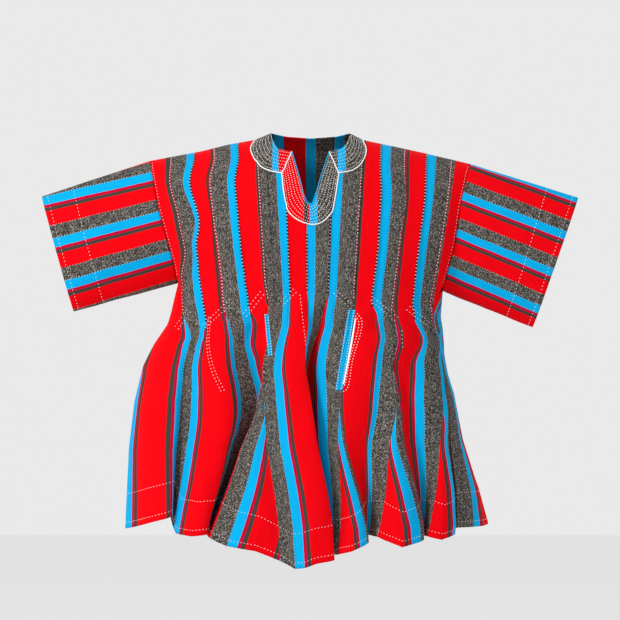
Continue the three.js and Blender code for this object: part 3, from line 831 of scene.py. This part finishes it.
def onFace(tree, face, x, z, lift):
    # the nearest outer point of the cloth seen from in front or behind
    start = Vector((x * mm, face * 0.6, z * mm))
    hit, normal, _, _ = tree.ray_cast(start, Vector((0, -face, 0)))
    if hit is None:
        hit, normal, _, _ = tree.find_nearest(Vector((x * mm, face * bodyDepth(face, x, z) * mm, z * mm)))
    if normal.y * face < 0:
        normal = -normal
    return hit + normal * lift * mm, normal


def leftBandShows(x):
    if x < -73:
        return 87 + (x + 73) / 2.3
    return 87 + (x + 73) / 12 * 11 if x < -61 else 106 + (x + 61) / 1.6


def rightBandShows(x):
    if x < 51:
        return 87 + (x - 51) / 17 * 19.5
    return 87 + 5 * (1 - abs(x - 58) / 7) if x < 65 else 87 - (x - 65) / 50 * 19


def backBandShows(x):
    return x / pixel + 300


def placketShows(x):
    if x < -13.3:
        return 48 + (x + 13.3) / 1.6
    return 56 + (x + 2.7) / 1.45 if x < 12 else 68 + (x - 12) / 2.4


def makeBand(name, face, tree, cut, shows, material, nodes, slot="band_cloth"):
    near = curvePoints(cut["near"], trims["stations"])
    far = curvePoints(cut["far"], trims["stations"])
    rows = trims["rows"]

    def spot(i, j):
        return near[i].lerp(far[i], j / rows)

    def place(i, j):
        p = spot(i, j)
        rolled = trims["rolled"] * math.sin(math.pi * clamp(j / rows, 0, 1)) ** 0.5
        return onFace(tree, face, p.x, p.y, trims["lift"] + rolled)[0] / mm

    def cornerMap(i, vi, vj):
        p = spot(vi, vj)
        return shows(p.x) / bodyRepeat["length"], -p.y / (bodyRepeat["length"] * pixel)

    bm = gridSheet(trims["stations"] + 1, rows + 1, place, cornerMap)
    faceOut(bm, (0, face, 0.2))
    layer = BVHTree.FromBMesh(bm)
    piece = finishPiece(name, bm, material, nodes, slot, trims["thickness"], trims["offset"])
    print(name)
    return piece, layer, near, far


# stitches: short beads of thread in one mesh for each kind

stitching = {  # mm from one stitch to the next, width, share of the pitch that shows, lift, shift
    "band": (4.7, 1.5, 0.5, 0.25, 0), "hem": (6.6, 1.0, 0.5, 0.4, 0), "cuff": (7.2, 1.2, 0.4, 0.3, 0),
    "tack": (7.0, 1.3, 0.42, 0.3, 0), "armhole": (6.4, 1.1, 0.42, 0.3, 0),
    "sawWhite": (6.6, 2.4, 0.32, 0.4, 0), "sawBlack": (6.6, 4.32, 0.68, 0.3, 0.32),
    "dotWhite": (6.4, 2.3, 0.42, 0.4, 0), "dotRed": (6.4, 2.99, 0.58, 0.3, 0.42),
    "welt": (5.2, 2.2, 0.45, 0.25, 0), "pocket": (5.8, 2.0, 0.42, 0.25, 0),
}
threadFlat = 0.64  # height of a stitch against its width
seatLift = 0.1     # mm from the cloth to the line of a row of stitches


class Stitches:
    def __init__(self, name, material, slot):
        self.name = name
        self.material = material
        self.slot = slot
        self.bm = bmesh.new()
        self.count = 0

    def bead(self, a, b, normal, width):
        along = b - a
        length = along.length
        if length < 1e-5:
            return
        along.normalize()
        side = along.cross(normal).normalized() * width / 2
        up = side.cross(along) * threadFlat
        middle = (a + b) / 2
        for v in bmesh.ops.create_icosphere(self.bm, subdivisions=1, radius=1)["verts"]:
            v.co = middle + along * v.co.x * length / 2 + side * v.co.y + up * v.co.z
        self.count += 1

    def run(self, kind, points):
        # points: (place, normal) in metres along the line
        pitch, width, share, lift, shift = stitching[kind]
        lengths = distances([p for p, _ in points])

        def at(s):
            low, high = 0, len(lengths) - 1
            while high - low > 1:
                k = (low + high) // 2
                low, high = (k, high) if lengths[k] <= s else (low, k)
            gap = max(lengths[high] - lengths[low], 1e-9)
            t = clamp((s - lengths[low]) / gap, 0, 1)
            normal = points[low][1].lerp(points[high][1], t).normalized()
            return points[low][0].lerp(points[high][0], t), normal

        total = max(1, round(lengths[-1] / mm / pitch))
        step = lengths[-1] / total
        for n in range(total):
            a, normal = at(step * (n + shift))
            b = at(step * (n + shift + share))[0]
            up = normal * lift * mm
            self.bead(a + up, b + up, normal, width * mm)

    def finish(self):
        finishPiece(self.name, self.bm, self.material, [], self.slot)
        print(self.name, self.count, "stitches")


def cordAlong(name, points, radius, material, slot):
    data = bpy.data.curves.new(name, "CURVE")
    data.dimensions = "3D"
    data.bevel_depth = radius * mm
    data.bevel_resolution = 2
    data.use_fill_caps = True
    spline = data.splines.new("POLY")
    spline.points.add(len(points) - 1)
    for slotPoint, p in zip(spline.points, points):
        slotPoint.co = (*p, 1)
    source = bpy.data.objects.new(name + "Line", data)
    bpy.context.collection.objects.link(source)
    made = source.evaluated_get(bpy.context.evaluated_depsgraph_get())
    mesh = bpy.data.meshes.new_from_object(made)
    bm = bmesh.new()
    bm.from_mesh(mesh)
    bmesh.ops.remove_doubles(bm, verts=bm.verts[:], dist=0.00001)
    bpy.data.objects.remove(source)
    bpy.data.curves.remove(data)
    bpy.data.meshes.remove(mesh)
    finishPiece(name, bm, material, [], slot)


setStage()
print("stage")

bodyCloth = stripedCloth("stripedBodyCloth", bodyRepeat, [0.0, 67])
sleeveCloth = stripedCloth("stripedSleeveCloth", sleeveRepeat, [0.0, 13])
bandCloth = stripedCloth("stripedBandCloth", bodyRepeat, [])
whiteThread = threadMaterial("whiteThread", dye["thread"])
blackThread = threadMaterial("blackThread", dye["blackThread"])
redThread = threadMaterial("redThread", dye["crimson"])
blueCloth = plainCloth("blueCloth", dye["blue"])
whiteCloth = plainCloth("whiteCloth", dye["thread"])

frontPiece, frontTree, frontLines, frontPlace = makeBody(-1, "front_body", bodyCloth)
backPiece, backTree, backLines, backPlace = makeBody(1, "back_body", bodyCloth)
leftSleeve, leftTree = makeSleeve("left", sleeveCloth)
rightSleeve, rightTree = makeSleeve("right", sleeveCloth)

bandParts = {}
for label, face, tree, shows, nodes in (
    ("left", -1, frontTree, leftBandShows, ["neck_band_left"]),
    ("right", -1, frontTree, rightBandShows, ["neck_band_right"]),
    ("back", 1, backTree, backBandShows, ["neck_band_back"]),
    ("placket", -1, frontTree, placketShows, ["placket"]),
):
    title = "placket_cloth" if label == "placket" else f"neck_band_{label}_cloth"
    bandParts[label] = makeBand(title, face, tree, trims[label], shows, bandCloth, nodes)

# rows of white stitches on the bands and the cord round them

bandRows = {"left": 7, "right": 7, "back": 6, "placket": 6, "lift": 0.5, "first": 0.6, "last": 0.35}
cords = {"radius": 1.15, "lift": 0.9, "ends": 12, "edgingRadius": 1.0, "edgingLift": 0.7}

bandStitches = Stitches("band_stitches", whiteThread, "band_cloth")
for label, (_, layer, near, far) in bandParts.items():
    face = 1 if label == "back" else -1
    for n in range(bandRows[label]):
        share = (n + bandRows["first"]) / (bandRows[label] + bandRows["last"])
        path = [a.lerp(b, share) for a, b in zip(near, far)]
        bandStitches.run("band", [onFace(layer, face, p.x, p.y, bandRows["lift"]) for p in path])
bandStitches.finish()

for label in ("left", "right", "placket", "back"):
    _, layer, near, far = bandParts[label]
    face = 1 if label == "back" else -1
    route = far
    if label == "placket":
        ends = cords["ends"]
        first = [near[0].lerp(far[0], k / ends) for k in range(ends)]
        last = [far[-1].lerp(near[-1], (k + 1) / ends) for k in range(ends)]
        route = first + far + last
    points = [onFace(layer, face, p.x, p.y, cords["lift"])[0] for p in route]
    cordAlong(f"cord_{label}", points, cords["radius"], whiteThread, "band_cloth")
_, layer, near, far = bandParts["placket"]
edging = [onFace(layer, -1, p.x, p.y, cords["edgingLift"])[0] for p in near]
cordAlong("slit_edging", edging, cords["edgingRadius"], blueCloth, "blue_cloth")
print("cords")

# topstitching on the body

tops = Stitches("top_stitches", whiteThread, "striped_cloth")


def placedOn(place, lines, i, z):
    # a point of the skirt at a height, between the rows of the sheet
    line = lines[i]
    yokeRows, skirtRows = body["yokeRows"], body["skirtRows"]
    j = yokeRows + skirtRows * (line["release"] - z) / (line["release"] - line["hemZ"])
    low = int(clamp(j, yokeRows, yokeRows + skirtRows - 1))
    a, b = Vector(place(i, low)), Vector(place(i, low + 1))
    return a.lerp(b, j - low) * mm


for face, lines, place in ((-1, frontLines, frontPlace), (1, backLines, backPlace)):
    for up in (body["hemTurn"], body["hemTop"]):
        row = [placedOn(place, lines, i, lines[i]["hemZ"] + up) for i in range(len(lines))]
        points = []
        for k, p in enumerate(row):
            along = row[min(k + 1, len(row) - 1)] - row[max(k - 1, 0)]
            normal = along.cross(Vector((0, 0, 1))) * -face
            normal = normal.normalized() if normal.length > 1e-7 else Vector((0, face, 0))
            if normal.y * face < 0 and abs(normal.y) > 0.3:
                normal = -normal
            points.append((p, normal))
        tops.run("hem", points)

cuffs = {"rows": (11, 62), "reach": 215, "points": 96}  # mm from the end of a sleeve
for label, tree in (("left", leftTree), ("right", rightTree)):
    cut = sleeves[label]
    middle = (cut["top"][1] + cut["bottom"][1]) / 2 * mm
    for inward in cuffs["rows"]:
        points = []
        for k in range(cuffs["points"] + 1):
            angle = 2 * math.pi * k / cuffs["points"]
            spot = Vector(sleevePoint(cut, angle, 1 - inward / cuffs["reach"])) * mm
            hit, normal, _, _ = tree.find_nearest(spot)
            out = hit - Vector((hit.x, 0, middle))
            points.append((hit, normal if normal.dot(out) > 0 else -normal))
        tops.run("cuff", points)

# seen from the front: rows down the red cloth, bar tacks where the tucks let go, and the armhole rows
tacks = [
    [(-194, -336), (-196, -395), (-188, -435), (-167, -480)],
    [(-190, -336), (-192, -392), (-183, -432), (-161, -478)],
    [(-21, -294), (-13, -361), (-9, -395)],
    [(171, -361), (173, -399)],
    [(-258, -355), (-232, -318)], [(-252, -360), (-226, -323)],
    [(-206, -352), (-150, -300)], [(-200, -357), (-145, -306)],
    [(-128, -330), (-92, -284)], [(-122, -336), (-86, -290)],
    [(-62, -312), (-30, -280)], [(-56, -317), (-24, -286)],
    [(48, -286), (84, -318)], [(42, -291), (78, -324)],
    [(118, -300), (168, -340)], [(112, -305), (162, -346)],
    [(186, -316), (232, -352)], [(180, -322), (226, -358)],
]
tackParts = {2: 30, 3: 40, 4: 40}   # by how many points a tack is drawn with
tackJump = 0.012                    # metres: a row that jumps further leaves the cloth
for path in tacks:
    parts = tackParts[len(path)]
    if len(path) > 2:
        points = curvePoints(path, parts)
    else:
        points = [Vector(path[0]).lerp(Vector(path[1]), k / parts) for k in range(parts + 1)]
    for face, tree in ((-1, frontTree), (1, backTree)):
        spots = [onFace(tree, face, p.x, p.y, seatLift) for p in points]
        calm = [b for a, b in zip(spots, spots[1:]) if (b[0] - a[0]).length < tackJump]
        tops.run("tack", [spots[0]] + calm)

armholeRow = {"aside": 3, "top": 6, "bottom": 12, "steps": 59}
for side in (-1, 1):
    top, bottom = armhole[side]["tip"] - armholeRow["top"], armhole[side]["underarm"] + armholeRow["bottom"]
    for face, tree in ((-1, frontTree), (1, backTree)):
        spots = []
        for k in range(armholeRow["steps"] + 1):
            z = lerp(top, bottom, k / armholeRow["steps"])
            spots.append(onFace(tree, face, edgeX(side, z) - side * armholeRow["aside"], z, seatLift))
        tops.run("armhole", spots)
tops.finish()

# the stitched edges of the tucks in the yoke: black and white by turns, or red and white

tuckEdges = {
    "saw": [4, 8, 14.5, 16.5, 18.5, 24, 29], "dots": [2, 7, 9, 22, 27, 32],
    "underPlacket": (14.5, 16.5, 18.5), "top": 4, "topUnderPlacket": 60, "bottom": 3, "steps": 80,
}
tuckWhite = Stitches("tuck_stitches_white", whiteThread, "striped_cloth")
tuckBlack = Stitches("tuck_stitches_black", blackThread, "striped_cloth")
tuckRed = Stitches("tuck_stitches_red", redThread, "striped_cloth")
for face, tree in ((-1, frontTree), (1, backTree)):
    rows = makeFolds(face)
    for c in tuckEdges["saw"] + tuckEdges["dots"]:
        line = foldLine(face, rows, c)
        low = line["release"] + tuckEdges["bottom"]
        high = line["top"] - tuckEdges["topUnderPlacket" if c in tuckEdges["underPlacket"] else "top"]
        spots = []
        for k in range(tuckEdges["steps"] + 1):
            z = lerp(high, low, k / tuckEdges["steps"])
            spots.append(onFace(tree, face, lineAt(line, z)[0] - body["seamAside"], z, seatLift))
        if c in tuckEdges["saw"]:
            tuckWhite.run("sawWhite", spots)
            tuckBlack.run("sawBlack", spots)
        else:
            tuckWhite.run("dotWhite", spots)
            tuckRed.run("dotRed", spots)
tuckWhite.finish()
tuckBlack.finish()
tuckRed.finish()

# pocket welts: a strip of blue cloth on the front, stitched along both edges, with a sliver of the
# pocket's white cloth beside the right one and stitches round it

welts = {
    "left": {
        "near": [(-88, -331), (-84, -370), (-80.5, -409)],
        "far": [(-80, -331), (-76, -370), (-72.5, -409)],
    },
    "right": {
        "near": [(70, -323), (59, -390), (45.5, -474)],
        "far": [(83.5, -323), (72.5, -390), (58.5, -474)],
    },
    "lining": {
        "near": [(83, -338), (72.5, -395), (60, -462)],
        "far": [(85, -340), (76, -395), (62, -464)],
    },
}
pocketRows = [
    [(87, -329), (96, -345), (78, -418), (66, -473), (50, -478)],
    [(84, -334), (90, -347), (72.5, -418), (62, -466), (54, -471)],
]
weltRows = {"shares": (0.14, 0.86), "lift": 0.4}
weltStitches = Stitches("welt_stitches", whiteThread, "blue_cloth")
weltPieces = {}


def plainShows(x):
    return x


for label in ("left", "right"):
    weltPieces[label], layer, near, far = makeBand(
        f"pocket_welt_{label}_cloth", -1, frontTree, welts[label], plainShows, blueCloth,
        [f"pocket_welt_{label}"], "blue_cloth")
    for share in weltRows["shares"]:
        line = [onFace(layer, -1, *a.lerp(b, share), weltRows["lift"]) for a, b in zip(near, far)]
        weltStitches.run("welt", line)
weltPieces["lining"] = makeBand("pocket_lining_cloth", -1, frontTree, welts["lining"], plainShows,
                                whiteCloth, [], "blue_cloth")[0]
for path in pocketRows:
    weltStitches.run("pocket", [onFace(frontTree, -1, p.x, p.y, seatLift) for p in curvePoints(path, 80)])
weltStitches.finish()
print("pockets")
